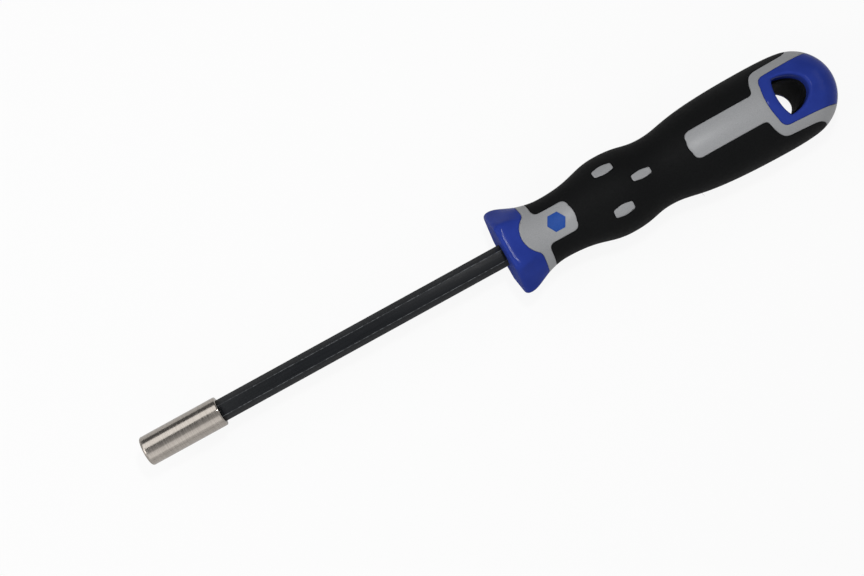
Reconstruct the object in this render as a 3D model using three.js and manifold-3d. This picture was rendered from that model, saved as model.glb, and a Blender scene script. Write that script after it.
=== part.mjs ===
// A bit-holding screwdriver: a round sleeve with a quarter-inch hex socket on a hex bar,
// moulded into a handle of a hard core, coloured hard mouldings and a soft grip.
// Millimetres. X runs along the tool, from the socket's mouth (-X) to the handle's end (+X).
// Z points out of the face that carries the drive symbol. The origin is the centre of the bit's seat.

import * as THREE from 'three';
import { mergeVertices } from 'three/addons/utils/BufferGeometryUtils.js';
import Module from 'manifold-3d';

const wasm = await Module();
wasm.setup();

// Clearances
const fitGap = 0.3;              // between mouldings that sit in or on each other
const boreClearance = 0.05;      // each side, hex bar in the sleeve
const ringClearance = 0.1;       // retaining ring in its groove
const symbolClearance = 0.15;    // drive symbol in its pocket

// Blade
const bladeReach = 127;          // handle's front face to the socket's mouth
const hexAcrossFlats = 6.35;     // quarter-inch hex
const barCornerRadius = 0.3;
const barClocking = 7;           // degrees that the bar's flats are turned from the handle's
const anchorDepth = 72;          // bar inside the handle
const wingSpan = 10.4;           // flattened wings that keep the bar from turning and pulling out
const wingThickness = 2.4;
const wingLength = 9;
const wingFromEnd = 3;

// Sleeve, magnet and retaining ring
const sleeveDiameter = 9.7;
const sleeveLength = 26.5;
const sleeveFrontRound = 0.7;
const sleeveRearChamfer = 0.3;
const socketDepth = 12.5;        // mouth to the bit's seat
const magnetDiameter = 5.6;
const magnetLength = 5;
const ringWire = 0.9;
const ringInnerDiameter = 6.3;
const ringFromMouth = 3.4;       // mouth to the ring's middle
const ringOpening = 70;          // degrees left open in the ring

// Handle's outline: stations run back from its front face
const handleLength = 117.3;
const rimRadius = 14.4;          // over the collar's corners
const rimStation = 2.5;
const rimRound = 1.7;
const frontWaistRadius = 10.13;
const frontWaistStation = 17.5;
const bulgeRadius = 13.3;
const bulgeStation = 39.2;
const rearWaistRadius = 11.5;
const rearWaistStation = 54;
const bellyRadius = 14.8;
const bellyFromEnd = 23.8;
const domeRadius = 14.3;
const shoulderReach = 3.1;       // the dome takes over this far behind its centre
const shoulderLead = 3.8;        // length of the straightening stretch before the dome
// How long the outline runs level as it leaves and reaches the ends of each stretch, as shares of it
const rimToWaistShares = [0.29, 0.57];
const waistToBulgeShares = [0.57, 0.38];
const bulgeToWaistShares = [0.55, 0.4];
const waistToBellyShares = [0.22, 0.8];

// Collar
const collarLength = 9.85;
const collarWall = 3;            // front wall, in front of the core
const facetRunOut = 13.5;        // station where the six flats have faded out
const facetFull = 3;           // station up to which they are full
const facetEaseShare = 0.015;    // how much the hexagon's corners are eased
const scallopRadius = 7.3;
const scallopStation = 13.4;
const lobeRound = 1.3;

// Core
const coreRadius = 6.2;
const coreTailRadius = 9.4;
const coreTailLead = 8;          // the tail is at its full width this far ahead of the end cap
const coreTaper = 10;
const endWall = 8.1;             // end cap's thickness behind the core

// Soft grip, and the hard shell that shows through it
const gripWall = 1.8;
const ringRear = 12.9;           // where the grip starts behind the collar
const tongueHalf = 5.1;
const tongueEnd = 24.4;
const tongueFillet = 2;
const tongueCorner = 2.3;
const tongueBow = 0.5;
const pairStation = 38.1;        // two windows side by side
const pairAcross = 6.95;
const pairWidth = 3.2;
const soloStation = 47.75;       // one window on the middle line
const soloWidth = 2.85;
const windowLength = 6.7;
const windowCorner = 0.9;        // length of the window's eased corners
const windowCornerShare = 0.8;   // half width behind those corners, as a share of the full half width
const windowTipShare = 0.4;     // and at the window's flat ends
const plateLength = 23.3;
const plateHalf = 4.65;
const plateCorner = 2;
const plateBow = 0.4;
const flareLead = 4;             // the frame starts to widen this far ahead of the end cap
const flareMiddle = 1.333;       // and is half wide this far ahead of it
const flareRound = 2;            // how slowly it starts to widen
const flareSlant = 1;            // and how steeply it goes on
const frameShoulder = 3.4;       // and is at its width this far behind the cap's front edge
const frameHalf = 11.4;
const frameTailHalf = 11.7;
const gripTailFromEnd = 8.2;     // where the grip's flanks end
const gripTailRound = 2;

// End cap and hanging hole
const capLength = 25.9;
const capHalf = 8.65;
const capTailHalf = 9.4;
const capCorner = 3;
const capBow = 0.9;
const capCornerLean = 0.45;      // the front corners lean back by this much
const holeLength = 10.2;
const holeHalf = 6.15;
const holeFromEnd = 11.8;        // hole's round end to the handle's end
const holeBow = 1.4;             // how far the hole's flat side bows out
const holeBowShare = 0.6;        // share of that side's half width that stays nearly straight

// Drive symbol
const symbolAcrossCorners = 6.4;
const symbolStation = 18.2;
const symbolDepth = 0.9;

// Worked out from the values above
const handleFront = bladeReach - socketDepth;
const bellyStation = handleLength - bellyFromEnd;
const domeCentre = handleLength - domeRadius;
const shoulderStation = domeCentre + shoulderReach;
const shoulderRadius = Math.sqrt(domeRadius ** 2 - shoulderReach ** 2);
const capFront = handleLength - capLength;
const holeRear = handleLength - holeFromEnd;
const holeFront = holeRear - holeLength;
const plateRear = capFront - flareLead;
const plateFront = plateRear - plateLength;
const gripTail = handleLength - gripTailFromEnd;
const coreEnd = handleLength - endWall;
const grooveWidth = ringWire + 2 * ringClearance;
const grooveDiameter = ringInnerDiameter + 2 * ringWire + 2 * ringClearance;
const boreAcrossFlats = hexAcrossFlats + 2 * boreClearance;
const beyond = handleLength;     // far enough to pass the outside of any piece

// How finely round things are divided
const roundSides = 36;           // a multiple of 6, so that the collar's corners fall on divisions
const innerSides = 24;           // hidden faces between the mouldings
const smallSides = 24;
const curveSteps = 6;
const innerSteps = 4;
const edgeSteps = 3;             // rounded front edge of the sleeve
const cornerSteps = 2;           // corners of the hex bar
const wireSteps = 4;             // each half turn of the retaining ring's wire

// Solids from geometry, and meshes from solids

function solid(geometry) {
  const bare = geometry.index ? geometry.toNonIndexed() : geometry.clone();
  bare.deleteAttribute('normal');
  bare.deleteAttribute('uv');
  const merged = mergeVertices(bare, 1e-4);
  const corners = merged.index.array;
  const kept = [];
  for (let i = 0; i < corners.length; i += 3) {
    const [a, b, c] = [corners[i], corners[i + 1], corners[i + 2]];
    if (a !== b && b !== c && c !== a) kept.push(a, b, c);
  }
  const vertProperties = new Float32Array(merged.attributes.position.array);
  return new wasm.Manifold(new wasm.Mesh({ numProp: 3, vertProperties, triVerts: new Uint32Array(kept) }));
}

function piece(name, body, material) {
  const { vertProperties, triVerts } = body.getMesh();
  const geometry = new THREE.BufferGeometry();
  geometry.setAttribute('position', new THREE.BufferAttribute(vertProperties, 3));
  geometry.setIndex(new THREE.BufferAttribute(triVerts, 1));
  geometry.computeVertexNormals();
  const mesh = new THREE.Mesh(geometry, material);
  mesh.name = name;
  return mesh;
}

// A profile of [station, radius] points turned about X
function turned(profile, sides) {
  const points = profile.map(([station, radius]) => new THREE.Vector2(radius, station));
  return new THREE.LatheGeometry(points, sides).rotateZ(-Math.PI / 2);
}

// A shape drawn in X and Y, pulled up along Z
function prism(shape, low, high) {
  const depth = high - low;
  const settings = { depth, bevelEnabled: false, curveSegments: curveSteps };
  return solid(new THREE.ExtrudeGeometry(shape, settings).translate(0, 0, low));
}

function through(shape) {
  return prism(shape, -beyond, beyond);
}

// Closes a path drawn on the +Y side, from the middle line back to it, with its mirror image
function mirrored(path) {
  const side = path.getPoints(curveSteps);
  const otherSide = side.slice(1, -1).reverse().map((p) => new THREE.Vector2(p.x, -p.y));
  return new THREE.Shape([...side, ...otherSide]);
}

// A hexagonal bar along X, with a flat towards +Z and rounded corners
function hexBar(acrossFlats, cornerRadius, from, to) {
  const outline = new THREE.Shape();
  const centreReach = (acrossFlats / 2 - cornerRadius) / Math.cos(Math.PI / 6);
  for (let corner = 0; corner < 6; corner += 1) {
    const angle = corner * Math.PI / 3;
    const x = centreReach * Math.cos(angle);
    const y = centreReach * Math.sin(angle);
    outline.absarc(x, y, cornerRadius, angle - Math.PI / 6, angle + Math.PI / 6, false);
  }
  const settings = { depth: to - from, bevelEnabled: false, curveSegments: cornerSteps };
  const geometry = new THREE.ExtrudeGeometry(outline, settings);
  geometry.rotateZ(Math.PI / 2).rotateY(Math.PI / 2).translate(from, 0, 0);
  return solid(geometry.rotateX(Math.PI / 6 + THREE.MathUtils.degToRad(barClocking)));
}

// Blade: bar with its anchoring wings, in the frame of the bit's seat

function barBody(grow) {
  const from = magnetLength + (grow ? -beyond : 0);
  const to = handleFront + anchorDepth + grow;
  const wingEnd = handleFront + anchorDepth - wingFromEnd + grow;
  const wingStart = wingEnd - wingLength - 2 * grow;
  const wings = new THREE.BoxGeometry(wingEnd - wingStart, wingSpan + 2 * grow, wingThickness + 2 * grow);
  wings.translate((wingStart + wingEnd) / 2, 0, 0).rotateX(THREE.MathUtils.degToRad(barClocking));
  const bar = hexBar(hexAcrossFlats + 2 * grow, barCornerRadius + grow, from, to);
  return bar.add(solid(wings));
}

function sleeveBody() {
  const radius = sleeveDiameter / 2;
  const mouth = -socketDepth;
  const rear = mouth + sleeveLength;
  const outline = [[mouth, 0]];
  for (let step = 0; step <= edgeSteps; step += 1) {
    const angle = step / edgeSteps * Math.PI / 2;
    outline.push([
      mouth + sleeveFrontRound * (1 - Math.cos(angle)),
      radius - sleeveFrontRound * (1 - Math.sin(angle)),
    ]);
  }
  outline.push([rear - sleeveRearChamfer, radius], [rear, radius - sleeveRearChamfer], [rear, 0]);
  const bore = hexBar(boreAcrossFlats, barCornerRadius / 2, -beyond, beyond);
  const boreCorner = boreAcrossFlats / 2 / Math.cos(Math.PI / 6);
  const countersink = [
    [mouth - boreCorner, 0],
    [mouth - boreCorner, 2 * boreCorner],
    [mouth + boreCorner, 0],
  ];
  const grooveStart = mouth + ringFromMouth - grooveWidth / 2;
  const groove = [
    [grooveStart, 0],
    [grooveStart, grooveDiameter / 2],
    [grooveStart + grooveWidth, grooveDiameter / 2],
    [grooveStart + grooveWidth, 0],
  ];
  let body = solid(turned(outline, roundSides)).subtract(bore);
  for (const cut of [countersink, groove]) body = body.subtract(solid(turned(cut, smallSides)));
  return body;
}

function magnetBody() {
  const radius = magnetDiameter / 2;
  const face = new THREE.CylinderGeometry(radius, radius, magnetLength, smallSides);
  return solid(face.rotateZ(Math.PI / 2).translate(magnetLength / 2, 0, 0));
}

// The ring's opening faces the back of the tool
function retainingRingBody() {
  const radius = (ringInnerDiameter + ringWire) / 2;
  const turn = THREE.MathUtils.degToRad(360 - ringOpening);
  const station = ringFromMouth - socketDepth;
  class RingPath extends THREE.Curve {
    getPoint(t, target = new THREE.Vector3()) {
      const angle = (t - 0.5) * turn;
      return target.set(station, radius * Math.sin(angle), radius * Math.cos(angle));
    }
  }
  const wire = new THREE.Shape().absarc(0, 0, ringWire / 2, 0, 2 * Math.PI, false);
  const settings = { extrudePath: new RingPath(), steps: smallSides, curveSegments: wireSteps };
  return solid(new THREE.ExtrudeGeometry(wire, settings));
}

// Handle's outside: a turned outline whose front end is drawn in to a hexagon

function handleProfile(inset, steps) {
  const outline = new THREE.Path();
  outline.moveTo(0, rimRadius - rimRound);
  outline.quadraticCurveTo(0, rimRadius, rimStation, rimRadius);
  const swell = (from, to, fromRadius, toRadius, [leave, arrive]) => {
    const run = to - from;
    outline.bezierCurveTo(from + leave * run, fromRadius, to - arrive * run, toRadius, to, toRadius);
  };
  swell(rimStation, frontWaistStation, rimRadius, frontWaistRadius, rimToWaistShares);
  swell(frontWaistStation, bulgeStation, frontWaistRadius, bulgeRadius, waistToBulgeShares);
  swell(bulgeStation, rearWaistStation, bulgeRadius, rearWaistRadius, bulgeToWaistShares);
  swell(rearWaistStation, bellyStation, rearWaistRadius, bellyRadius, waistToBellyShares);
  outline.quadraticCurveTo(shoulderStation - shoulderLead, bellyRadius, shoulderStation, shoulderRadius);
  const domeStart = Math.atan2(shoulderRadius, shoulderReach);
  outline.absarc(domeCentre, 0, domeRadius, domeStart, 0, true);
  return outline.getPoints(steps).map((p) => [p.x, p.y - inset]);
}

// Share of the full radius that the collar's six flats leave at a station and an angle from +Z
function facetShare(station, angle) {
  const fade = 1 - THREE.MathUtils.smoothstep(station, facetFull, facetRunOut);
  const sector = Math.PI / 3;
  const offFlat = angle - sector * Math.round(angle / sector);
  const flat = Math.min(1, (1 + facetEaseShare) * Math.cos(sector / 2) / Math.cos(offFlat));
  return 1 - fade * (1 - flat);
}

// The handle's outside moved in by an inset, between two stations
function handleBody(inset, from, to) {
  const outline = handleProfile(inset, inset ? innerSteps : curveSteps);
  const inside = outline.filter(([station]) => station > from && station < to);
  const radiusAt = (station) => {
    const next = outline.findIndex((point) => point[0] >= station);
    if (next <= 0) return outline[0][1];
    const [[x0, r0], [x1, r1]] = [outline[next - 1], outline[next]];
    return r0 + (r1 - r0) * (station - x0) / (x1 - x0);
  };
  const ends = (station) => (station < handleLength ? [[station, radiusAt(station)]] : []);
  const profile = [[from, 0], ...ends(from), ...inside, ...ends(to), [to, 0]];
  const geometry = turned(profile, inset ? innerSides : roundSides);
  const position = geometry.attributes.position;
  for (let i = 0; i < position.count; i += 1) {
    const y = position.getY(i);
    const z = position.getZ(i);
    const share = facetShare(position.getX(i), Math.atan2(y, z));
    position.setXYZ(i, position.getX(i), y * share, z * share);
  }
  return solid(geometry);
}

// Outlines of the mouldings as seen from the face; grow moves an outline outwards

function collarShape(grow) {
  const rear = collarLength + grow;
  const radius = scallopRadius - grow;
  const cornerHalf = Math.sqrt(radius ** 2 - (scallopStation - rear) ** 2);
  const arcEnd = Math.asin((cornerHalf - lobeRound / 2) / radius);
  const path = new THREE.Path();
  path.moveTo(-beyond, 0);
  path.lineTo(-beyond, beyond);
  path.lineTo(rear, beyond);
  path.lineTo(rear, cornerHalf + lobeRound);
  const arcX = scallopStation - radius * Math.cos(arcEnd);
  path.quadraticCurveTo(rear, cornerHalf, arcX, radius * Math.sin(arcEnd));
  path.absarc(scallopStation, 0, radius, Math.PI - arcEnd, Math.PI, false);
  return mirrored(path);
}

function frontBandShape(grow) {
  const half = tongueHalf + grow;
  const rear = ringRear + grow;
  const end = tongueEnd + grow;
  const cornerStart = end - tongueBow - tongueCorner;
  const path = new THREE.Path();
  path.moveTo(-beyond, 0);
  path.lineTo(-beyond, beyond);
  path.lineTo(rear, beyond);
  path.lineTo(rear, half + tongueFillet);
  path.quadraticCurveTo(rear, half, rear + tongueFillet, half);
  path.lineTo(cornerStart, half);
  path.quadraticCurveTo(end - tongueBow, half, end - tongueBow, half - tongueCorner);
  path.quadraticCurveTo(end, (half - tongueCorner) / 2, end, 0);
  return mirrored(path);
}

// A barrel with blunt ends
function windowShape(station, across, width, grow) {
  const half = width / 2 + grow;
  const front = station - windowLength / 2 - grow;
  const back = station + windowLength / 2 + grow;
  const shape = new THREE.Shape();
  shape.moveTo(front, across - half * windowTipShare);
  for (const side of [1, -1]) {
    const [near, far] = side > 0 ? [front, back] : [back, front];
    const tip = across + side * half * windowTipShare;
    const corner = across + side * half * windowCornerShare;
    const crown = across + side * half * (2 - windowCornerShare);
    shape.lineTo(near, tip);
    shape.quadraticCurveTo(near, corner, near + side * windowCorner, corner);
    shape.quadraticCurveTo(station, crown, far - side * windowCorner, corner);
    shape.quadraticCurveTo(far, corner, far, tip);
  }
  return shape;
}

function windowShapes(grow) {
  return [
    windowShape(pairStation, pairAcross, pairWidth, grow),
    windowShape(pairStation, -pairAcross, pairWidth, grow),
    windowShape(soloStation, 0, soloWidth, grow),
  ];
}

// The bare plate and the frame round the end cap
function rearFrameShape(grow) {
  const half = plateHalf + grow;
  const front = plateFront - grow;
  const wide = frameHalf + grow;
  const flareStart = plateRear - grow;
  const middle = capFront - flareMiddle - grow;
  const middleHalf = (half + wide) / 2;
  const path = new THREE.Path();
  path.moveTo(front, 0);
  path.quadraticCurveTo(front, (half - plateCorner) / 2, front + plateBow, half - plateCorner);
  path.quadraticCurveTo(front + plateBow, half, front + plateBow + plateCorner, half);
  path.lineTo(flareStart, half);
  const slant = flareSlant;
  path.bezierCurveTo(flareStart + flareRound, half, middle - slant, half + slant, middle, middleHalf);
  path.bezierCurveTo(capFront, wide - slant, capFront + slant, wide, capFront + frameShoulder, wide);
  path.lineTo(holeRear - frameShoulder, frameTailHalf + grow);
  path.quadraticCurveTo(gripTail - gripTailRound, frameTailHalf + grow, gripTail - grow, bellyRadius);
  path.lineTo(gripTail, beyond);
  path.lineTo(handleLength + beyond, beyond);
  path.lineTo(handleLength + beyond, 0);
  return mirrored(path);
}

function capShape(grow) {
  const half = capHalf + grow;
  const front = capFront - grow;
  const path = new THREE.Path();
  path.moveTo(front, 0);
  path.quadraticCurveTo(front, (half - capCorner) / 2, front + capBow, half - capCorner);
  path.quadraticCurveTo(front + capBow + capCornerLean, half, front + capBow + capCorner, half);
  path.lineTo(handleLength, capTailHalf + grow);
  path.lineTo(handleLength + beyond, capTailHalf + grow);
  path.lineTo(handleLength + beyond, 0);
  return mirrored(path);
}

function holeShape() {
  const corner = holeFront + holeBow;
  const path = new THREE.Path();
  path.moveTo(holeFront, 0);
  path.quadraticCurveTo(holeFront, holeHalf * holeBowShare, corner, holeHalf);
  path.absellipse(corner, 0, holeRear - corner, holeHalf, Math.PI / 2, 0, true, 0);
  return mirrored(path);
}

function symbolShape(grow) {
  const reach = symbolAcrossCorners / 2 + grow / Math.cos(Math.PI / 6);
  const corners = [];
  for (let corner = 0; corner < 6; corner += 1) {
    const angle = corner * Math.PI / 3;
    corners.push(new THREE.Vector2(symbolStation + reach * Math.cos(angle), reach * Math.sin(angle)));
  }
  return new THREE.Shape(corners);
}

// Handle's mouldings, in stations back from its front face

function coreSolid(grow) {
  const front = collarWall - grow;
  const end = coreEnd + grow;
  const tail = capFront - coreTailLead;
  return solid(turned([
    [front, 0],
    [front, coreRadius + grow],
    [tail - coreTaper, coreRadius + grow],
    [tail, coreTailRadius + grow],
    [end, coreTailRadius + grow],
    [end, 0],
  ], roundSides));
}

const outside = handleBody(0, 0, handleLength);
const barSpace = barBody(fitGap).translate(-handleFront, 0, 0);
const coreSpace = coreSolid(fitGap);
const hole = through(holeShape());

function collarBody() {
  return outside.intersect(through(collarShape(0))).subtract(coreSpace).subtract(barSpace);
}

function coreBody() {
  return coreSolid(0).subtract(barSpace).subtract(hole);
}

function capBody() {
  return outside.intersect(through(capShape(0))).subtract(coreSpace).subtract(hole);
}

// The shell lies under the grip and comes up to the surface wherever the grip is open
function shellBody() {
  let shell = handleBody(gripWall + fitGap, collarLength, gripTail);
  for (const shape of [frontBandShape(0), rearFrameShape(0), ...windowShapes(0)]) {
    shell = shell.add(outside.intersect(through(shape)));
  }
  for (const space of [through(collarShape(fitGap)), through(capShape(fitGap)), coreSpace]) {
    shell = shell.subtract(space);
  }
  const pocket = through(symbolShape(symbolClearance));
  return shell.subtract(pocket.subtract(handleBody(symbolDepth + fitGap, collarLength, tongueEnd)));
}

function gripBody() {
  let grip = outside.subtract(handleBody(gripWall, 0, coreEnd));
  for (const shape of [frontBandShape(fitGap), rearFrameShape(fitGap), ...windowShapes(fitGap)]) {
    grip = grip.subtract(through(shape));
  }
  return grip;
}

// side is 1 on the face and -1 on the back
function symbolBody(side) {
  const column = side > 0 ? prism(symbolShape(0), 0, beyond) : prism(symbolShape(0), -beyond, 0);
  return outside.intersect(column).subtract(handleBody(symbolDepth, collarLength, tongueEnd));
}

// Materials

function finish(color, roughness, metalness) {
  return new THREE.MeshStandardMaterial({ color, roughness, metalness });
}

// Assembly

const blade = new THREE.Group();
blade.add(piece('hex_shank', barBody(0), finish(0x22262a, 0.45, 0.6)));
blade.add(piece('bit_sleeve', sleeveBody(), finish(0xb4aa9e, 0.35, 1)));
blade.add(piece('socket_magnet', magnetBody(), finish(0x9a9ca0, 0.4, 1)));
blade.add(piece('retaining_ring', retainingRingBody(), finish(0x8c8e92, 0.3, 1)));

const handle = new THREE.Group();
handle.position.x = handleFront;
handle.add(piece('front_collar', collarBody(), finish(0x26368f, 0.3, 0)));
handle.add(piece('handle_core', coreBody(), finish(0x1b1c1d, 0.5, 0)));
handle.add(piece('grey_shell', shellBody(), finish(0x96979a, 0.45, 0)));
handle.add(piece('soft_grip', gripBody(), finish(0x19191a, 0.7, 0)));
handle.add(piece('end_cap', capBody(), finish(0x2b389c, 0.35, 0)));
handle.add(piece('drive_symbol_face', symbolBody(1), finish(0x2a4a9a, 0.4, 0)));
handle.add(piece('drive_symbol_back', symbolBody(-1), finish(0x2a4a9a, 0.4, 0)));

const bitHolder = new THREE.Group();
bitHolder.name = 'bit_holder';
bitHolder.add(blade, handle);

export default bitHolder;
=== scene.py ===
import math

import bpy
from mathutils import Matrix, Vector


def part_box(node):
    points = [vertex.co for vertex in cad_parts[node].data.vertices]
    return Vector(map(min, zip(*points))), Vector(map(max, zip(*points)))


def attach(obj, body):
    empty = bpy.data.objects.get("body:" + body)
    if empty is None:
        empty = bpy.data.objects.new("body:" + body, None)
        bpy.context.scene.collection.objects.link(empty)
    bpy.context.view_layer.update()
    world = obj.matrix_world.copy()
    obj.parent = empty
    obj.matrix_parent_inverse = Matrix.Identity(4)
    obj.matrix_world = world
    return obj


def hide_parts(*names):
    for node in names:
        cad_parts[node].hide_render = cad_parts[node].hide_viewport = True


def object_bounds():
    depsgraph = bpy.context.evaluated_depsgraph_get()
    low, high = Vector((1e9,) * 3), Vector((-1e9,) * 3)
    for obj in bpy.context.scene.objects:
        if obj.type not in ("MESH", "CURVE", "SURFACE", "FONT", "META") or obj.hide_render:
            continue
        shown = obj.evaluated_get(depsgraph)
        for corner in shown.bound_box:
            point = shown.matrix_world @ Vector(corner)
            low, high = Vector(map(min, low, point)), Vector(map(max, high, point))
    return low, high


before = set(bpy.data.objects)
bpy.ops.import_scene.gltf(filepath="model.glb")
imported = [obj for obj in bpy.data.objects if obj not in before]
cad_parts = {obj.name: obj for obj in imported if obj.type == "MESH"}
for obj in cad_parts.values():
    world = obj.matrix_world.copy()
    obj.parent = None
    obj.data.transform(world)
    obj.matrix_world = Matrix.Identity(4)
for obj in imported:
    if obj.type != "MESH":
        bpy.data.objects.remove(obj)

cadBox = [list(corner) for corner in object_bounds()]
print("frame loaded,", len(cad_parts), "nodes")


# small tools, sizes in millimetres and meshes in metres

perMetre = 1000
weldReach = 0.002        # points closer than this are merged
fineWeldReach = 0.001
cutPast = 2              # how far a cutter runs past what it cuts
endFacing = 0.9          # share of an end face's normal that lies along the tool
hexHalf = math.pi / 6    # half the angle of a hexagon's side


def mm(value):
    return value / perMetre


def nodeStart(node):
    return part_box(node)[0].x * perMetre


def nodeEnd(node):
    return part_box(node)[1].x * perMetre


def pick(piece):
    bpy.ops.object.select_all(action="DESELECT")
    piece.select_set(True)
    bpy.context.view_layer.objects.active = piece


def settle(name):
    # the new primitive gets its name, and its place goes into its mesh
    piece = bpy.context.active_object
    piece.name = name
    pick(piece)
    bpy.ops.object.transform_apply(location=True, rotation=True, scale=True)
    return piece


def openMesh(piece):
    pick(piece)
    bpy.ops.object.mode_set(mode="EDIT")
    bpy.ops.mesh.select_all(action="SELECT")


def closeMesh():
    bpy.ops.object.mode_set(mode="OBJECT")


def copyOf(piece, name):
    pick(piece)
    bpy.ops.object.duplicate()
    twin = bpy.context.active_object
    twin.name = name
    return twin


def combine(piece, tool, operation, keepTool=False):
    pick(piece)
    cut = piece.modifiers.new("cut", "BOOLEAN")
    cut.operation = operation
    cut.solver = "MANIFOLD"
    cut.object = tool
    bpy.ops.object.modifier_apply(modifier=cut.name)
    if not keepTool:
        bpy.data.objects.remove(tool, do_unlink=True)
    return piece


def mergeAndTurnOut(piece, reach):
    openMesh(piece)
    bpy.ops.mesh.remove_doubles(threshold=mm(reach))
    bpy.ops.mesh.normals_make_consistent(inside=False)
    closeMesh()


def roundEdges(piece, width, sharpness=40, segments=2, mergeShare=0.25):
    # the sharp edges that cutting left are broken, as on a moulding
    mergeAndTurnOut(piece, width * mergeShare)
    openMesh(piece)
    bpy.ops.mesh.select_mode(type="EDGE")
    bpy.ops.mesh.select_all(action="DESELECT")
    bpy.ops.mesh.edges_select_sharp(sharpness=math.radians(sharpness))
    bpy.ops.mesh.bevel(offset=mm(width), segments=segments, affect="EDGES",
                       clamp_overlap=False, loop_slide=False)
    bpy.ops.mesh.select_mode(type="VERT")
    closeMesh()


def clearPicks(piece, kind):
    # nothing of the mesh is picked, and the next picks are of one kind
    openMesh(piece)
    bpy.ops.mesh.select_mode(type=kind)
    bpy.ops.mesh.select_all(action="DESELECT")
    closeMesh()


def bevelPicked(piece, width, segments):
    pick(piece)
    bpy.ops.object.mode_set(mode="EDIT")
    bpy.ops.mesh.bevel(offset=mm(width), segments=segments, affect="EDGES")
    bpy.ops.mesh.select_mode(type="VERT")
    closeMesh()


def bevelEnds(piece, width, segments):
    clearPicks(piece, "FACE")
    for face in piece.data.polygons:
        face.select = abs(face.normal.x) > endFacing
    bevelPicked(piece, width, segments)


def dress(piece, node, finish, smoothAngle=35):
    pick(piece)
    bpy.ops.object.shade_smooth_by_angle(angle=math.radians(smoothAngle))
    piece.data.materials.clear()
    piece.data.materials.append(finish)
    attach(piece, "root")
    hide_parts(node)
    print(piece.name, len(piece.data.polygons), "faces")


# outlines, as lists of points

def bend(path, *controls, steps=8):
    # adds a Bezier stretch from the path's last point
    start = path[-1]
    for step in range(1, steps + 1):
        share = step / steps
        row = [start, *controls]
        while len(row) > 1:
            row = [tuple(a + (b - a) * share for a, b in zip(p, q)) for p, q in zip(row, row[1:])]
        path.append(row[0])


def sweep(path, centre, reachX, reachY, start, end, steps):
    # adds an arc of an ellipse, with angles in radians
    for step in range(1, steps + 1):
        angle = start + (end - start) * step / steps
        path.append((centre + reachX * math.cos(angle), reachY * math.sin(angle)))


def mirrored(path):
    return path + [(x, -y) for x, y in reversed(path[1:-1])]


def drawChain(name, points):
    # one vertex, pulled from point to point
    bpy.ops.object.select_all(action="DESELECT")
    bpy.ops.mesh.primitive_plane_add(size=mm(1), location=points[0])
    piece = settle(name)
    openMesh(piece)
    bpy.ops.mesh.merge(type="CENTER")
    for start, end in zip(points, points[1:]):
        step = Vector(end) - Vector(start)
        bpy.ops.mesh.extrude_region_move(TRANSFORM_OT_translate={"value": step})
    bpy.ops.mesh.select_all(action="SELECT")
    return piece


def turn(name, profile, sides):
    # a profile of (x, radius) turned about the tool's axis
    piece = drawChain(name, [(mm(x), 0, mm(radius)) for x, radius in profile])
    bpy.ops.mesh.spin(steps=sides, angle=2 * math.pi, center=(0, 0, 0), axis=(1, 0, 0))
    closeMesh()
    mergeAndTurnOut(piece, weldReach)
    return piece


def prism(name, outline, low, high):
    # an outline of (x, y) pulled up along Z
    piece = drawChain(name, [(mm(x), mm(y), mm(low)) for x, y in outline])
    bpy.ops.mesh.edge_face_add()
    bpy.ops.mesh.extrude_region_move(TRANSFORM_OT_translate={"value": (0, 0, mm(high - low))})
    closeMesh()
    mergeAndTurnOut(piece, weldReach)
    return piece


def skin(name, loops):
    # a closed mesh through a stack of loops with the same number of points
    count = len(loops[0])
    points = [point for loop in loops for point in loop]
    faces = [tuple(reversed(range(count))), tuple(range(len(points) - count, len(points)))]
    for level in range(len(loops) - 1):
        base = level * count
        for i in range(count):
            j = (i + 1) % count
            faces.append((base + i, base + j, base + count + j, base + count + i))
    mesh = bpy.data.meshes.new(name)
    mesh.from_pydata(points, [], faces)
    piece = bpy.data.objects.new(name, mesh)
    bpy.context.scene.collection.objects.link(piece)
    mergeAndTurnOut(piece, fineWeldReach)
    return piece


# finishes, on materials or the world as owners of the nodes

def addNode(owner, kind, **settings):
    node = owner.node_tree.nodes.new(kind)
    for key, value in settings.items():
        setattr(node, key, value)
    return node


def join(owner, output, target):
    owner.node_tree.links.new(output, target)


def mapRange(owner, start, end, atStart, atEnd):
    spread = addNode(owner, "ShaderNodeMapRange")
    spread.inputs["From Min"].default_value = start
    spread.inputs["From Max"].default_value = end
    spread.inputs["To Min"].default_value = atStart
    spread.inputs["To Max"].default_value = atEnd
    return spread


even = (1, 1, 1)
drawn = (0.02, 1, 1)          # grain pulled out along the tool
turned = (1, 0.02, 0.02)      # grain pulled out round it
tintSpan = (0.35, 0.65)       # stretches of the noise over which colour and gloss change
glossSpan = (0.3, 0.7)
plainShine = 0.5


def grain(finish, scale, detail, stretch):
    # noise on the piece's own coordinates
    place = addNode(finish, "ShaderNodeTexCoord")
    mapping = addNode(finish, "ShaderNodeMapping")
    mapping.inputs["Scale"].default_value = stretch
    noise = addNode(finish, "ShaderNodeTexNoise")
    noise.inputs["Scale"].default_value = scale
    noise.inputs["Detail"].default_value = detail
    join(finish, place.outputs["Object"], mapping.inputs["Vector"])
    join(finish, mapping.outputs["Vector"], noise.inputs["Vector"])
    return noise.outputs["Fac"]


def tint(finish, shader, pattern, dark, light):
    ramp = addNode(finish, "ShaderNodeValToRGB")
    for element, position, colour in zip(ramp.color_ramp.elements, tintSpan, (dark, light)):
        element.position = position
        element.color = (*colour, 1)
    join(finish, pattern, ramp.inputs["Fac"])
    join(finish, ramp.outputs["Color"], shader.inputs["Base Color"])


def gloss(finish, shader, pattern, smooth, rough):
    spread = mapRange(finish, *glossSpan, smooth, rough)
    join(finish, pattern, spread.inputs["Value"])
    join(finish, spread.outputs["Result"], shader.inputs["Roughness"])


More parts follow.
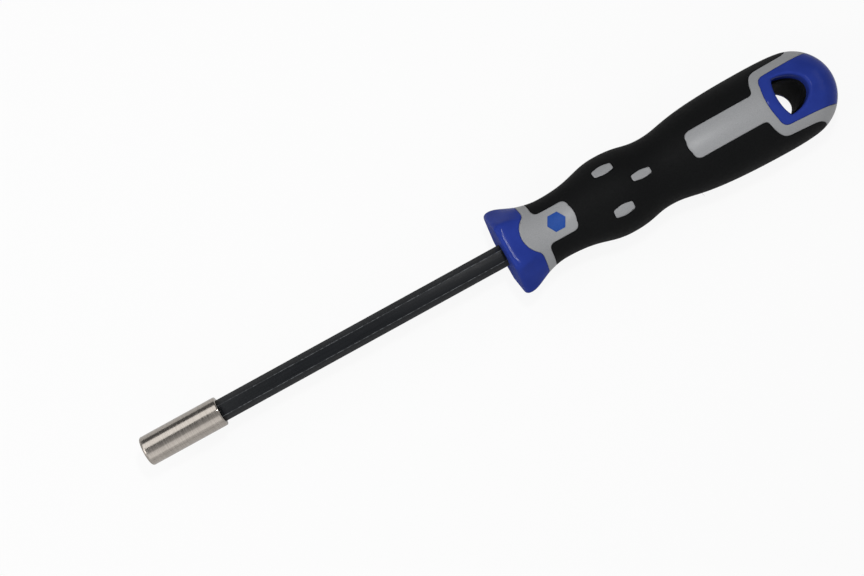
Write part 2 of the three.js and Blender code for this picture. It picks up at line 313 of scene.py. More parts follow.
def relief(finish, shader, pattern, height):
    bump = addNode(finish, "ShaderNodeBump")
    bump.inputs["Distance"].default_value = mm(height)
    bump.inputs["Strength"].default_value = 1
    join(finish, pattern, bump.inputs["Height"])
    join(finish, bump.outputs["Normal"], shader.inputs["Normal"])


def dullFront(finish, shader, node, reach, added, start=0.02):
    # a node's front face is rougher, which fades out over the reach behind its plane
    plane = nodeStart(node)
    place = addNode(finish, "ShaderNodeTexCoord")
    parts = addNode(finish, "ShaderNodeSeparateXYZ")
    near = mapRange(finish, mm(plane + start), mm(plane + reach), added, 0)
    total = addNode(finish, "ShaderNodeMath", operation="ADD")
    join(finish, place.outputs["Object"], parts.inputs["Vector"])
    join(finish, parts.outputs["X"], near.inputs["Value"])
    join(finish, shader.inputs["Roughness"].links[0].from_socket, total.inputs[0])
    join(finish, near.outputs["Result"], total.inputs[1])
    join(finish, total.outputs[0], shader.inputs["Roughness"])


def wearAndHighlightCorners(finish, shader, flatAngle, wearAndHighlightColour, line, fade, patchSpan, least, patchGrain):
    # a hex bar's corners are painted paler, unevenly along their length: painted highlight lines where the
    # rounded corners catch light, together with light wear
    factorIn, firstIn, secondIn, colourOut = 0, 6, 7, 2    # sockets of a colour mix
    place = addNode(finish, "ShaderNodeTexCoord")
    parts = addNode(finish, "ShaderNodeSeparateXYZ")
    around = addNode(finish, "ShaderNodeMath", operation="ARCTAN2")
    fromCorner = addNode(finish, "ShaderNodeMath", operation="SUBTRACT")
    fromCorner.inputs[1].default_value = hexHalf - math.radians(flatAngle)
    nearest = addNode(finish, "ShaderNodeMath", operation="PINGPONG")
    nearest.inputs[1].default_value = hexHalf
    edge = mapRange(finish, math.radians(line), math.radians(fade), 1, 0)
    patches = mapRange(finish, *patchSpan, least, 1)
    wearAndHighlightShare = addNode(finish, "ShaderNodeMath", operation="MULTIPLY")
    # the painted highlight and wear colour is mixed in at the corners
    mix = addNode(finish, "ShaderNodeMix", data_type="RGBA")
    mix.inputs[secondIn].default_value = (*wearAndHighlightColour, 1)
    join(finish, place.outputs["Object"], parts.inputs["Vector"])
    join(finish, parts.outputs["Y"], around.inputs[0])
    join(finish, parts.outputs["Z"], around.inputs[1])
    join(finish, around.outputs[0], fromCorner.inputs[0])
    join(finish, fromCorner.outputs[0], nearest.inputs[0])
    join(finish, nearest.outputs[0], edge.inputs["Value"])
    join(finish, grain(finish, *patchGrain), patches.inputs["Value"])
    join(finish, edge.outputs["Result"], wearAndHighlightShare.inputs[0])
    join(finish, patches.outputs["Result"], wearAndHighlightShare.inputs[1])
    join(finish, wearAndHighlightShare.outputs[0], mix.inputs[factorIn])
    join(finish, shader.inputs["Base Color"].links[0].from_socket, mix.inputs[firstIn])
    join(finish, mix.outputs[colourOut], shader.inputs["Base Color"])


# each grain is a scale, a detail and a stretch, and heights are in millimetres
looks = {
    "bluePlastic": {
        "dark": (0.018, 0.035, 0.225), "light": (0.021, 0.041, 0.255), "tintGrain": (160, 3, even),
        "smooth": 0.12, "rough": 0.18, "glossGrain": (900, 3, even),
        "height": 0.0006, "reliefGrain": (1200, 2, even),
        "shine": 0.02, "metal": 0,
        "dull": {"node": "front_collar", "reach": 0.2, "added": 0.4},
    },
    "greyPlastic": {
        "dark": (0.25, 0.254, 0.262), "light": (0.3, 0.305, 0.313), "tintGrain": (5200, 3, even),
        "smooth": 0.34, "rough": 0.44, "glossGrain": (1400, 3, even),
        "height": 0.008, "reliefGrain": (6000, 2, even),
        "shine": 0.25, "metal": 0,
    },
    "gripRubber": {
        "dark": (0.0042, 0.0044, 0.0046), "light": (0.007, 0.0073, 0.0076), "tintGrain": (3800, 3, even),
        "smooth": 0.55, "rough": 0.65, "glossGrain": (700, 3, even),
        "height": 0.02, "reliefGrain": (5000, 4, even),
        "shine": 0.05, "metal": 0,
    },
    "corePlastic": {
        "dark": (0.004, 0.0042, 0.0046), "light": (0.006, 0.0063, 0.0068), "tintGrain": (2000, 3, even),
        "smooth": 0.5, "rough": 0.6, "glossGrain": (900, 3, even),
        "height": 0.01, "reliefGrain": (3000, 2, even),
        "shine": 0.03, "metal": 0,
    },
    "symbolBlue": {
        "dark": (0.017, 0.06, 0.26), "light": (0.021, 0.07, 0.3), "tintGrain": (3000, 3, even),
        "smooth": 0.42, "rough": 0.5, "glossGrain": (1200, 3, even),
        "height": 0.006, "reliefGrain": (5000, 2, even),
        "shine": 0.06, "metal": 0,
    },
    "blackBar": {
        "dark": (0.0036, 0.0045, 0.0058), "light": (0.0068, 0.0081, 0.0101), "tintGrain": (2600, 4, drawn),
        "smooth": 0.34, "rough": 0.46, "glossGrain": (1500, 3, (0.1, 1, 1)),
        "height": 0.006, "reliefGrain": (2600, 4, drawn),
        "shine": 0.13, "metal": 0,
        # painted highlight lines on the bar's corners, together with light wear
        "cornerWearAndHighlight": {
            "flatAngle": 7, "wearAndHighlightColour": (0.1, 0.105, 0.112), "line": 1, "fade": 2.6,   # angles in degrees
            "patchSpan": (0.42, 0.58), "least": 0.3, "patchGrain": (1100, 3, (0.7, 1, 1)),
        },
    },
    "brightSteel": {
        "dark": (0.4, 0.365, 0.33), "light": (0.48, 0.44, 0.4), "tintGrain": (5000, 3, turned),
        "smooth": 0.16, "rough": 0.24, "glossGrain": (5000, 3, turned),
        "height": 0.0015, "reliefGrain": (5000, 3, turned),
        "shine": plainShine, "metal": 1,
        "dull": {"node": "bit_sleeve", "reach": 1.1, "added": 0.5},
    },
    "magnetPlate": {
        "dark": (0.3, 0.31, 0.33), "light": (0.4, 0.41, 0.43), "tintGrain": (2500, 3, even),
        "smooth": 0.25, "rough": 0.4, "glossGrain": (1800, 3, even),
        "height": 0.004, "reliefGrain": (4000, 3, even),
        "shine": plainShine, "metal": 1,
    },
}


def makeFinish(name, look):
    finish = bpy.data.materials.new(name)
    finish.use_nodes = True
    shader = finish.node_tree.nodes["Principled BSDF"]
    shader.inputs["Specular IOR Level"].default_value = look["shine"]
    shader.inputs["Metallic"].default_value = look["metal"]
    tint(finish, shader, grain(finish, *look["tintGrain"]), look["dark"], look["light"])
    gloss(finish, shader, grain(finish, *look["glossGrain"]), look["smooth"], look["rough"])
    relief(finish, shader, grain(finish, *look["reliefGrain"]), look["height"])
    if "dull" in look:
        dullFront(finish, shader, **look["dull"])
    if "cornerWearAndHighlight" in look:
        wearAndHighlightCorners(finish, shader, **look["cornerWearAndHighlight"])
    return finish


finishes = {name: makeFinish(name, look) for name, look in looks.items()}
print("finishes made")


# hex bar, with the flattened wings that anchor it in the handle

bar = {
    "acrossFlats": 6.35,
    "cornerRadius": 0.3,
    "clocking": looks["blackBar"]["cornerWearAndHighlight"]["flatAngle"],   # degrees from the handle's flats
    "endChamfer": 0.4,
    "endSteps": 2,
    "wingThickness": 2.4,
    "wingLength": 9,
    "wingFromEnd": 3,
    "wingClearance": 0.3,
    "wingEdge": 0.3,
    "smoothAngle": 25,
}
bar["start"] = nodeStart("hex_shank")
bar["end"] = nodeEnd("hex_shank")


def hexRod(name, acrossFlats, cornerRadius, start, end, cornerSteps=4):
    # a flat lies towards +Z before the rod is clocked
    bpy.ops.object.select_all(action="DESELECT")
    reach = acrossFlats / 2 / math.cos(hexHalf)
    bpy.ops.mesh.primitive_cylinder_add(
        vertices=6, radius=mm(reach), depth=mm(end - start), rotation=(0, math.pi / 2, 0),
        location=(mm((start + end) / 2), 0, 0))
    rod = settle(name)
    angles = [math.atan2(v.co.y, v.co.z) for v in rod.data.vertices]
    offFlat = min(angles, key=abs)
    turnBy = hexHalf - abs(offFlat)
    rod.data.transform(Matrix.Rotation(turnBy + math.radians(bar["clocking"]), 4, "X"))
    clearPicks(rod, "EDGE")
    for edge in rod.data.edges:
        a, b = (rod.data.vertices[i].co for i in edge.vertices)
        edge.select = abs(a.x - b.x) > mm(end - start) / 2
    bevelPicked(rod, cornerRadius * math.tan(hexHalf), cornerSteps)
    return rod


def makeBar():
    rod = hexRod("hexShank", bar["acrossFlats"], bar["cornerRadius"], bar["start"], bar["end"])
    bevelEnds(rod, bar["endChamfer"], bar["endSteps"])
    low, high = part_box("hex_shank")
    wingSpan = (high.y - low.y) * perMetre
    wingEnd = bar["end"] - bar["wingFromEnd"]
    bpy.ops.object.select_all(action="DESELECT")
    bpy.ops.mesh.primitive_cube_add(
        size=1, location=(mm(wingEnd - bar["wingLength"] / 2), 0, 0),
        rotation=(math.radians(bar["clocking"]), 0, 0),
        scale=(mm(bar["wingLength"]), mm(wingSpan - bar["wingClearance"]), mm(bar["wingThickness"])))
    wings = settle("wings")
    openMesh(wings)
    bpy.ops.mesh.bevel(offset=mm(bar["wingEdge"]), segments=2, affect="EDGES")
    closeMesh()
    combine(rod, wings, "UNION")
    dress(rod, "hex_shank", finishes["blackBar"], bar["smoothAngle"])


# sleeve with the hex socket, the magnet at its bottom and the retaining ring in its wall

sleeve = {
    "frontRound": 0.9,
    "frontLean": 0.45,
    "rearRound": 0.5,
    "rearSteps": 4,
    "socketAcrossFlats": 6.45,
    "socketCorner": 0.2,
    "grooveFromMouth": 3.4,
    "grooveWidth": 1.1,
    "grooveDiameter": 8.3,
    "sides": 128,
    "innerSides": 64,
    "smoothAngle": 30,
}
sleeve["mouth"] = nodeStart("bit_sleeve")
sleeve["rear"] = nodeEnd("bit_sleeve")
sleeve["radius"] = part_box("bit_sleeve")[1].z * perMetre


def makeSleeve():
    radius, mouth, rear = sleeve["radius"], sleeve["mouth"], sleeve["rear"]
    front, back, lean = sleeve["frontRound"], sleeve["rearRound"], sleeve["frontLean"]
    profile = [(mouth, 0), (mouth, radius - front)]
    bend(profile, (mouth, radius - front * lean), (mouth + front * lean, radius), (mouth + front, radius))
    profile.append((rear - back, radius))
    bend(profile, (rear, radius), (rear, radius - back), steps=sleeve["rearSteps"])
    profile.append((rear, 0))
    tube = turn("bitSleeve", profile, sleeve["sides"])
    across, sides = sleeve["socketAcrossFlats"], sleeve["innerSides"]
    socket = hexRod("socket", across, sleeve["socketCorner"], mouth - cutPast, rear + cutPast)
    combine(tube, socket, "DIFFERENCE")
    corner = across / 2 / math.cos(hexHalf)
    cone = [(mouth - corner, 0), (mouth - corner, 2 * corner), (mouth + corner, 0)]
    combine(tube, turn("leadIn", cone, sides), "DIFFERENCE")
    start = mouth + sleeve["grooveFromMouth"] - sleeve["grooveWidth"] / 2
    end = start + sleeve["grooveWidth"]
    half = sleeve["grooveDiameter"] / 2
    disc = [(start, 0), (start, half), (end, half), (end, 0)]
    combine(tube, turn("groove", disc, sides), "DIFFERENCE")
    dress(tube, "bit_sleeve", finishes["brightSteel"], sleeve["smoothAngle"])


magnet = {"edge": 0.25, "edgeSteps": 3, "sides": 64}


def makeMagnet():
    low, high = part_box("socket_magnet")
    bpy.ops.object.select_all(action="DESELECT")
    bpy.ops.mesh.primitive_cylinder_add(
        vertices=magnet["sides"], radius=high.z, depth=high.x - low.x, rotation=(0, math.pi / 2, 0),
        location=((low.x + high.x) / 2, 0, 0))
    disc = settle("socketMagnet")
    bevelEnds(disc, magnet["edge"], magnet["edgeSteps"])
    dress(disc, "socket_magnet", finishes["magnetPlate"])


ring = {"wire": 0.9, "innerDiameter": 6.3, "opening": 70, "wireSides": 20, "turnSteps": 72}


def makeRing():
    low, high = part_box("retaining_ring")
    radius = (ring["innerDiameter"] + ring["wire"]) / 2
    halfTurn = math.radians(180 - ring["opening"] / 2)
    place = (low.x + high.x) / 2
    bpy.ops.object.select_all(action="DESELECT")
    bpy.ops.mesh.primitive_circle_add(
        vertices=ring["wireSides"], radius=mm(ring["wire"] / 2), rotation=(math.pi / 2, 0, 0),
        location=(place, 0, mm(radius)))
    wire = settle("retainingRing")
    wire.data.transform(Matrix.Rotation(halfTurn, 4, "X"))
    openMesh(wire)
    bpy.ops.mesh.spin(steps=ring["turnSteps"], angle=-2 * halfTurn, center=(0, 0, 0), axis=(1, 0, 0))
    bpy.ops.mesh.select_all(action="SELECT")
    bpy.ops.mesh.fill_holes(sides=0)
    closeMesh()
    mergeAndTurnOut(wire, weldReach)
    dress(wire, "retaining_ring", finishes["brightSteel"])


# handle: one turned blank, cut up into its mouldings

handle = {
    "rim": (2.2, 14.4),             # station and radius, stations running back from the front face
    "rimRound": 1.7,
    "rimSteps": 8,
    "crestPull": 0.9,
    "frontWaist": (17.5, 10.13),
    "bulge": (39.2, 13.3),
    "rearWaist": (54, 11.5),
    "belly": (93.5, 14.8),
    "domeRadius": 14.3,
    "domeSteps": 24,
    "shoulderReach": 3.1,
    "shoulderLead": 3.8,
    "shoulderSteps": 10,
    "flatsFull": 3,                 # the collar's six flats fade out between these stations
    "flatsGone": 13.5,
    "flatsCrispness": 40,
    "sides": 144,
    "innerSides": 72,
    "surfaceFine": 2,               # how much finer the outline is that other shapes are set from
    "seam": 0.02,                   # hairline between mouldings
    "gripWall": 1.8,
    "hardEdge": 0.15,               # broken edges
    "shellEdge": 0.25,
    "gripEdge": 0.2,
    "far": 60,
}
handle["swells"] = (                # where each curve ends, its pull at both ends, and its steps
    ("frontWaist", 0.24, 0.51, 14),
    ("bulge", 0.57, 0.38, 16),
    ("rearWaist", 0.55, 0.4, 14),
    ("belly", 0.22, 0.8, 28),
)
handle["front"] = nodeStart("front_collar")
handle["length"] = nodeEnd("end_cap") - handle["front"]


def handleProfile(inset, fine):
    dome, reach, here = handle["domeRadius"], handle["shoulderReach"], handle["rim"]
    path = [(0, here[1] - handle["rimRound"])]
    bend(path, (0, here[1]), here, steps=handle["rimSteps"] * fine)
    for goal, leave, arrive, steps in handle["swells"]:
        there = handle[goal]
        run = there[0] - here[0]
        leaving = (here[0] + leave * run, here[1])
        arriving = (there[0] - arrive * run, there[1])
        bend(path, leaving, arriving, there, steps=steps * fine)
        here = there
    centre = handle["length"] - dome
    shoulder = (centre + reach, math.sqrt(dome ** 2 - reach ** 2))
    lead = (shoulder[0] - handle["shoulderLead"], here[1])
    bend(path, lead, shoulder, steps=handle["shoulderSteps"] * fine)
    start = math.atan2(shoulder[1], reach)
    sweep(path, centre, dome, dome, start, 0, handle["domeSteps"] * fine)
    return [(x, max(radius - inset, 0)) for x, radius in path]


def radiusAt(station):
    profile = handleProfile(0, handle["surfaceFine"])
    for (x0, r0), (x1, r1) in zip(profile, profile[1:]):
        if x0 <= station <= x1:
            return r0 + (r1 - r0) * (station - x0) / (x1 - x0)
    return 0


def flatsShare(station, angle):
    # share of the radius that the collar's flats leave at an angle from +Z
    reach = (station - handle["flatsFull"]) / (handle["flatsGone"] - handle["flatsFull"])
    reach = min(max(reach, 0), 1)
    fade = 1 - reach * reach * (3 - 2 * reach)
    power = handle["flatsCrispness"]
    apothem = math.cos(hexHalf) * 2 ** (1 / power)
    total = sum(max(math.cos(angle - k * 2 * hexHalf), 0) ** power for k in range(6))
    return 1 - fade * (1 - apothem * total ** (-1 / power))


def crestPull(station, angle):
    # on the flats the crest lies nearer to the front face than at the corners
    crest = handle["rim"][0]
    rise = max(1 - abs(station - crest) / crest, 0)
    return handle["crestPull"] * rise * min(1 + math.cos(6 * angle), 1)


def makeBlank(name, inset, start, end, sides, fine=1):
    # the handle's outside moved in by an inset, between two stations
    full = handleProfile(inset, fine)
    inside = [point for point in full if start < point[0] < end]
    ends = [[], []]
    for side, station in enumerate((start, end)):
        if 0 < station < handle["length"]:
            ends[side] = [(station, radiusAt(station) - inset)]
        elif station == 0:
            ends[side] = [full[0]]
    profile = [(start, 0), *ends[0], *inside, *ends[1], (end, 0)]
    blank = turn(name, [(handle["front"] + x, radius) for x, radius in profile], sides)
    for vertex in blank.data.vertices:
        station = vertex.co.x * perMetre - handle["front"]
        angle = math.atan2(vertex.co.y, vertex.co.z)
        share = flatsShare(station, angle)
        vertex.co.x -= mm(crestPull(station, angle))
        vertex.co.y *= share
        vertex.co.z *= share
    return blank


def column(name, outline, low, high):
    # an outline in stations, pulled up between two heights
    return prism(name, [(handle["front"] + x, y) for x, y in outline], low, high)


def through(name, outline):
    return column(name, outline, -handle["far"], handle["far"])


collar = {
    "length": 9.85, "wall": 3,
    "scallopRadius": 7.3, "scallopStation": 13.4, "scallopSteps": 10, "lobeRound": 1.3,
}


def collarOutline(grow):
    rear = collar["length"] + grow
    radius = collar["scallopRadius"] - grow
    half = math.sqrt(radius ** 2 - (collar["scallopStation"] - rear) ** 2)
    arcEnd = math.asin((half - collar["lobeRound"] / 2) / radius)
    far = handle["far"]
    path = [(-far, 0), (-far, far), (rear, far), (rear, half + collar["lobeRound"])]
    arcX = collar["scallopStation"] - radius * math.cos(arcEnd)
    bend(path, (rear, half), (arcX, radius * math.sin(arcEnd)))
    sweep(path, collar["scallopStation"], radius, radius, math.pi - arcEnd, math.pi, collar["scallopSteps"])
    return mirrored(path)


band = {"ringRear": 12.9, "half": 5.1, "end": 24.4, "fillet": 2, "corner": 2.3, "bow": 0.5}


def bandOutline(grow):
    half, rear, end = band["half"] + grow, band["ringRear"] + grow, band["end"] + grow
    far, fillet, corner, bow = handle["far"], band["fillet"], band["corner"], band["bow"]
    path = [(-far, 0), (-far, far), (rear, far), (rear, half + fillet)]
    bend(path, (rear, half), (rear + fillet, half))
    path.append((end - bow - corner, half))
    bend(path, (end - bow, half), (end - bow, half - corner))
    bend(path, (end, (half - corner) / 2), (end, 0))
    return mirrored(path)


windows = {
    "pairStation": 38.1, "pairAcross": 6.95, "pairWidth": 3.2,
    "soloStation": 47.75, "soloWidth": 2.85, "length": 6.7,
    "corner": 1.1, "cornerShare": 0.82, "tipShare": 0.3,
    "cornerSteps": 4, "crownSteps": 12,
}


def windowOutline(station, across, width, grow):
    # a barrel with blunt ends
    half, corner, steps = width / 2 + grow, windows["corner"], windows["cornerSteps"]
    front, back = station - windows["length"] / 2 - grow, station + windows["length"] / 2 + grow
    path = []
    for side, near, past in ((1, front, back), (-1, back, front)):
        tip = across + side * half * windows["tipShare"]
        edge = across + side * half * windows["cornerShare"]
        crown = across + side * half * (2 - windows["cornerShare"])
        path.append((near, tip))
        bend(path, (near, edge), (near + side * corner, edge), steps=steps)
        bend(path, (station, crown), (past - side * corner, edge), steps=windows["crownSteps"])
        bend(path, (past, edge), (past, tip), steps=steps)
    return path


def windowOutlines(grow):
    places = []
    for side in (1, -1):
        places.append((windows["pairStation"], side * windows["pairAcross"], windows["pairWidth"]))
    places.append((windows["soloStation"], 0, windows["soloWidth"]))
    return [windowOutline(*place, grow) for place in places]


rearEnd = {
    "capLength": 25.9, "plateLength": 23.3, "plateHalf": 4.65, "plateCorner": 2.7, "plateBow": 0.4,
    "flareLead": 4, "flareMiddle": 1.333, "flareRound": 2, "flareSlant": 1,
    "shoulder": 3.4, "half": 11.4, "tailHalf": 11.7, "tailFromEnd": 8.2, "tailRound": 2,
    "capHalf": 8.65, "capTailHalf": 9.4, "capCorner": 3.2, "capBow": 0.9, "capLean": 0.45,
    "endWall": 8.1,
    "holeLength": 10.5, "holeHalf": 6.3, "holeFromEnd": 11.65, "holeBow": 1.8, "holeBowShare": 0.6,
    "holeBowSteps": 12, "holeArcSteps": 24,
    "lip": 1.3, "lipEnd": 30, "lipSteps": 5, "lipLead": 1.73,
}
rearEnd["capFront"] = handle["length"] - rearEnd["capLength"]
rearEnd["plateRear"] = rearEnd["capFront"] - rearEnd["flareLead"]
rearEnd["plateFront"] = rearEnd["plateRear"] - rearEnd["plateLength"]
rearEnd["gripTail"] = handle["length"] - rearEnd["tailFromEnd"]
rearEnd["holeRear"] = handle["length"] - rearEnd["holeFromEnd"]
rearEnd["holeFront"] = rearEnd["holeRear"] - rearEnd["holeLength"]


def frameOutline(grow):
    half, wide, tail = rearEnd["plateHalf"] + grow, rearEnd["half"] + grow, rearEnd["tailHalf"] + grow
    front, start = rearEnd["plateFront"] - grow, rearEnd["plateRear"] - grow
    capFront, tailEnd = rearEnd["capFront"], rearEnd["gripTail"]
    middle = capFront - rearEnd["flareMiddle"] - grow
    corner, bow, slant = rearEnd["plateCorner"], rearEnd["plateBow"], rearEnd["flareSlant"]
    far = handle["far"]
    path = [(front, 0)]
    bend(path, (front, (half - corner) / 2), (front + bow, half - corner))
    bend(path, (front + bow, half), (front + bow + corner, half))
    path.append((start, half))
    between = (middle, (half + wide) / 2)
    bend(path, (start + rearEnd["flareRound"], half), (middle - slant, half + slant), between)
    bend(path, (capFront, wide - slant), (capFront + slant, wide), (capFront + rearEnd["shoulder"], wide))
    path.append((rearEnd["holeRear"] - rearEnd["shoulder"], tail))
    bend(path, (tailEnd - rearEnd["tailRound"], tail), (tailEnd - grow, handle["belly"][1]))
    path += [(tailEnd, far), (handle["length"] + far, far), (handle["length"] + far, 0)]
    return mirrored(path)


def capOutline(grow):
    half, front = rearEnd["capHalf"] + grow, rearEnd["capFront"] - grow
    corner, bow, far = rearEnd["capCorner"], rearEnd["capBow"], handle["far"]
    path = [(front, 0)]
    bend(path, (front, (half - corner) / 2), (front + bow, half - corner))
    bend(path, (front + bow + rearEnd["capLean"], half), (front + bow + corner, half))
    tail = rearEnd["capTailHalf"] + grow
    path += [(handle["length"], tail), (handle["length"] + far, tail), (handle["length"] + far, 0)]
    return mirrored(path)


def holeOutline(grow):
    half, front, back = rearEnd["holeHalf"] + grow, rearEnd["holeFront"] - grow, rearEnd["holeRear"] + grow
    corner = front + rearEnd["holeBow"]
    path = [(front, 0)]
    bend(path, (front, half * rearEnd["holeBowShare"]), (corner, half), steps=rearEnd["holeBowSteps"])
    sweep(path, corner, back - corner, half, math.pi / 2, 0, rearEnd["holeArcSteps"])
    return mirrored(path)


def holeCutter():
    # the hole's lip follows the handle's rounded surface, so each ring of it is set from that surface
    lip, steps = rearEnd["lip"], rearEnd["lipSteps"]
    rings = []
    for step in range(steps + 1):
        angle = math.radians(90 + (rearEnd["lipEnd"] - 90) * step / steps)
        rings.append((lip * (1 - math.sin(angle)), lip * (1 - math.cos(angle))))
    last = rings[-1]
    rings.append((last[0] + lip * rearEnd["lipLead"], last[1] - lip))
    loops = []
    for grow, depth in rings:
        loop = []
        for station, across in holeOutline(grow):
            surface = math.sqrt(max(radiusAt(station) ** 2 - across ** 2, 0))
            loop.append((mm(handle["front"] + station), mm(across), mm(surface - depth)))
        loops.append(loop)
    loops.append([(x, y, mm(handle["far"])) for x, y, z in loops[-1]])
    below = [[(x, y, -z) for x, y, z in loop] for loop in reversed(loops)]
    return skin("holeCutter", below + loops)


symbol = {"acrossCorners": 6.4, "station": 18.2, "depth": 0.9}


def symbolOutline(grow):
    reach = symbol["acrossCorners"] / 2 + grow / math.cos(hexHalf)
    corners = [k * 2 * hexHalf for k in range(6)]
    return [(symbol["station"] + reach * math.cos(a), reach * math.sin(a)) for a in corners]


core = {"radius": 6.2, "tailRadius": 9.4, "tailLead": 8, "taper": 10, "holeStep": 0.9, "sides": 96}


def coreBlank(name, grow):
    front, end = collar["wall"] - grow, handle["length"] - rearEnd["endWall"] + grow
    radius, tailRadius = core["radius"] + grow, core["tailRadius"] + grow
    tail = rearEnd["capFront"] - core["tailLead"]
    profile = [
        (front, 0), (front, radius), (tail - core["taper"], radius),
        (tail, tailRadius), (end, tailRadius), (end, 0)]
    return turn(name, [(handle["front"] + x, r) for x, r in profile], core["sides"])


def makeBlanks():
    # the solids that several mouldings are cut from or cut with
    seam = handle["seam"]
    across = bar["acrossFlats"] + 2 * seam
    blanks = {
        "outside": makeBlank("outside", 0, 0, handle["length"], handle["sides"]),
        "coreSpace": coreBlank("coreSpace", seam),
        "barSpace": hexRod("barSpace", across, bar["cornerRadius"], bar["start"], bar["end"]),
        "under": makeBlank("under", symbol["depth"], collar["length"], band["end"], handle["innerSides"]),
    }
    print("handle blanks made")
    return blanks


def makeCollar(blanks):
    piece = copyOf(blanks["outside"], "frontCollar")
    combine(piece, through("collarCut", collarOutline(-handle["seam"])), "INTERSECT")
    combine(piece, blanks["coreSpace"], "DIFFERENCE", keepTool=True)
    combine(piece, blanks["barSpace"], "DIFFERENCE", keepTool=True)
    roundEdges(piece, handle["hardEdge"])
    dress(piece, "front_collar", finishes["bluePlastic"])


def makeCap(blanks):
    piece = copyOf(blanks["outside"], "endCap")
    combine(piece, through("capCut", capOutline(-handle["seam"])), "INTERSECT")
    combine(piece, blanks["coreSpace"], "DIFFERENCE", keepTool=True)
    roundEdges(piece, handle["hardEdge"])
    combine(piece, holeCutter(), "DIFFERENCE")
    dress(piece, "end_cap", finishes["bluePlastic"])


def makeCore(blanks):
    piece = coreBlank("handleCore", 0)
    combine(piece, blanks["barSpace"], "DIFFERENCE", keepTool=True)
    combine(piece, through("coreHole", holeOutline(-core["holeStep"])), "DIFFERENCE")
    dress(piece, "handle_core", finishes["corePlastic"])


def makeShell(blanks):
    seam = handle["seam"]
    inset = handle["gripWall"] + seam
    piece = makeBlank("greyShell", inset, collar["length"], rearEnd["gripTail"], handle["innerSides"])
    for outline in (bandOutline(-seam), frameOutline(-seam), *windowOutlines(-seam)):
        patch = copyOf(blanks["outside"], "patch")
        combine(patch, through("patchCut", outline), "INTERSECT")
        combine(piece, patch, "UNION")
    combine(piece, through("collarSpace", collarOutline(seam)), "DIFFERENCE")
    combine(piece, through("capSpace", capOutline(seam)), "DIFFERENCE")
    combine(piece, blanks["coreSpace"], "DIFFERENCE", keepTool=True)
    roundEdges(piece, handle["shellEdge"])
    pocket = through("pocket", symbolOutline(seam))
    combine(pocket, blanks["under"], "DIFFERENCE", keepTool=True)
    combine(piece, pocket, "DIFFERENCE")
    dress(piece, "grey_shell", finishes["greyPlastic"])


def makeGrip(blanks):
    seam = handle["seam"]
    piece = copyOf(blanks["outside"], "softGrip")
    end = rearEnd["gripTail"] + cutPast
    inside = makeBlank("inside", handle["gripWall"], 0, end, handle["innerSides"])
    combine(piece, inside, "DIFFERENCE")
    for outline in (bandOutline(seam), frameOutline(seam), *windowOutlines(seam)):
        combine(piece, through("opening", outline), "DIFFERENCE")
    roundEdges(piece, handle["gripEdge"])
    dress(piece, "soft_grip", finishes["gripRubber"])


def makeSymbol(blanks, name, node, low, high):
    piece = copyOf(blanks["outside"], name)
    combine(piece, column("column", symbolOutline(-handle["seam"]), low, high), "INTERSECT")
    combine(piece, blanks["under"], "DIFFERENCE", keepTool=True)
    dress(piece, node, finishes["symbolBlue"])


def makeHandle():
    blanks = makeBlanks()
    makeCollar(blanks)
    makeCap(blanks)
    makeCore(blanks)
    makeShell(blanks)
    makeGrip(blanks)
    makeSymbol(blanks, "driveSymbolFace", "drive_symbol_face", 0, handle["far"])
    makeSymbol(blanks, "driveSymbolBack", "drive_symbol_back", -handle["far"], 0)
    for tool in blanks.values():
        bpy.data.objects.remove(tool, do_unlink=True)


makeBar()
makeSleeve()
makeMagnet()
makeRing()
makeHandle()
print("pieces made")


# floor, light and camera

stage = {
    "floorSize": 12,
    "floorMiddle": 0.1,
    "floorWhite": 0.88,      # share of plain white that the camera sees, the rest takes shadows
    "floorMirrored": 0.15,   # the same share as seen in metal and gloss
    "floorGrey": 0.6,
    "whiteStrength": 1.02,
    "windowSide": 0.75,      # the room's brightness on both sides
    "darkSide": 0.12,
    "windowFrom": -1,        # and where it starts and stops changing
    "darkFrom": 0.2,
}


def makeFloor():
    lowest, grey = cadBox[0][2], stage["floorGrey"]
    bpy.ops.object.select_all(action="DESELECT")
    bpy.ops.mesh.primitive_plane_add(
        size=stage["floorSize"], location=(stage["floorMiddle"], 0, lowest))
    floor = settle("floor")
    finish = bpy.data.materials.new("paleFloor")
    finish.use_nodes = True
    finish.node_tree.nodes.clear()
    rays = addNode(finish, "ShaderNodeLightPath")
    reflected = addNode(finish, "ShaderNodeMath", operation="MAXIMUM")
    dimmed = addNode(finish, "ShaderNodeMath", operation="MULTIPLY")
    dimmed.inputs[1].default_value = stage["floorMirrored"]
    share = addNode(finish, "ShaderNodeMath", operation="MULTIPLY_ADD")
    share.inputs[1].default_value = stage["floorWhite"]
    lit = addNode(finish, "ShaderNodeBsdfDiffuse")
    lit.inputs["Color"].default_value = (grey, grey, grey, 1)
    white = addNode(finish, "ShaderNodeEmission")
    white.inputs["Strength"].default_value = stage["whiteStrength"]
    mix = addNode(finish, "ShaderNodeMixShader")
    out = addNode(finish, "ShaderNodeOutputMaterial")
    join(finish, rays.outputs["Is Glossy Ray"], reflected.inputs[0])
    join(finish, rays.outputs["Is Transmission Ray"], reflected.inputs[1])
    join(finish, reflected.outputs[0], dimmed.inputs[0])
    join(finish, rays.outputs["Is Camera Ray"], share.inputs[0])
    join(finish, dimmed.outputs[0], share.inputs[2])
    join(finish, share.outputs[0], mix.inputs["Fac"])
    join(finish, lit.outputs[0], mix.inputs[1])
    join(finish, white.outputs[0], mix.inputs[2])
    join(finish, mix.outputs[0], out.inputs["Surface"])
    floor.data.materials.append(finish)


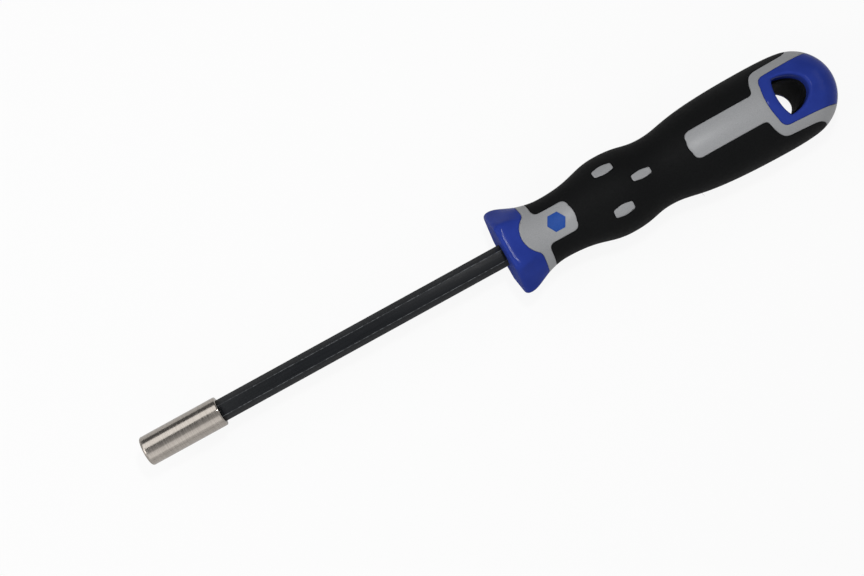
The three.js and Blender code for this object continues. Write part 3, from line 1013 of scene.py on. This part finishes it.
def makeWorld():
    # a soft room, bright on the side of the big window and dim on the other
    world = bpy.data.worlds.new("studio")
    bpy.context.scene.world = world
    world.use_nodes = True
    place = addNode(world, "ShaderNodeTexCoord")
    parts = addNode(world, "ShaderNodeSeparateXYZ")
    span = (stage["windowFrom"], stage["darkFrom"])
    spread = mapRange(world, *span, stage["windowSide"], stage["darkSide"])
    room = world.node_tree.nodes["Background"]
    room.inputs["Color"].default_value = (1, 1, 1, 1)
    join(world, place.outputs["Generated"], parts.inputs["Vector"])
    join(world, parts.outputs["Y"], spread.inputs["Value"])
    join(world, spread.outputs["Result"], room.inputs["Strength"])


view = {
    "lens": 62.5,
    "sensor": 36,
    "distance": 468,
    "tilt": 1.5,             # degrees that the sleeve leans towards the camera
    "faceTurn": 7.2,         # degrees that the handle's face is turned from it
    "slant": 28.81,          # degrees that the tool rises in the picture
    "aim": 89.8,             # point on the tool's axis abreast of the picture's middle
    "aimAbove": 1.81,        # and how far the middle lies above the axis
}


def acrossFrom(towards):
    # the tool's direction as seen along a line of sight
    along = Vector((1, 0, 0))
    return (along - towards * along.dot(towards)).normalized()


def placeObject(name, data, where, axes):
    holder = bpy.data.objects.new(name, data)
    bpy.context.scene.collection.objects.link(holder)
    turning = Matrix(axes).transposed().to_4x4()
    holder.matrix_world = Matrix.Translation(where) @ turning
    return holder


def makeCamera():
    tilt, face, slant = (math.radians(view[key]) for key in ("tilt", "faceTurn", "slant"))
    towards = Vector((
        -math.sin(tilt), -math.sin(face) * math.cos(tilt), math.cos(face) * math.cos(tilt)))
    along = acrossFrom(towards)
    across = towards.cross(along)
    right = math.cos(slant) * along - math.sin(slant) * across
    up = math.sin(slant) * along + math.cos(slant) * across
    target = Vector((mm(view["aim"]), 0, 0)) + across * mm(view["aimAbove"])
    camera = bpy.data.cameras.new("camera")
    camera.lens = view["lens"]
    camera.sensor_width = view["sensor"]
    where = target + towards * mm(view["distance"])
    bpy.context.scene.camera = placeObject("camera", camera, where, (right, up, towards))


# soft boxes, by middle and aim in metres, width along the tool and height, and brightness
lamps = {
    "lowerBox": {
        "place": (-0.15, -0.46, 0.386), "aim": (0.05, 0, 0), "size": (0.45, 0.45), "brightness": 0.5,
    },
    "upperBox": {
        "place": (-0.1, 0.323, 0.445), "aim": (0.05, 0, 0), "size": (0.5, 0.4), "brightness": 1.4,
    },
    "tipBox": {
        "place": (-0.35, 0, 0.4), "aim": (0.1, 0, 0), "size": (0.2, 0.3), "brightness": 6,
    },
    "spot": {
        "place": (0.155, 0.056, 0.44), "aim": (0.1, 0, 0), "size": (0.025, 0.045), "brightness": 220,
    },
    "rearBox": {
        "place": (0.6, 0, 0.13), "aim": (0.05, 0, 0), "size": (0.12, 0.3), "brightness": 2.5,
    },
}


def makeLamps():
    for name, lamp in lamps.items():
        where = Vector(lamp["place"])
        width, height = lamp["size"]
        towards = (where - Vector(lamp["aim"])).normalized()
        side = acrossFrom(towards)
        light = bpy.data.lights.new(name, "AREA")
        light.shape = "RECTANGLE"
        light.size = width
        light.size_y = height
        light.energy = lamp["brightness"] * math.pi * width * height
        placeObject(name, light, where, (side, towards.cross(side), towards))


makeFloor()
makeWorld()
makeCamera()
makeLamps()
bpy.context.scene.view_settings.view_transform = "Standard"
print("stage set")
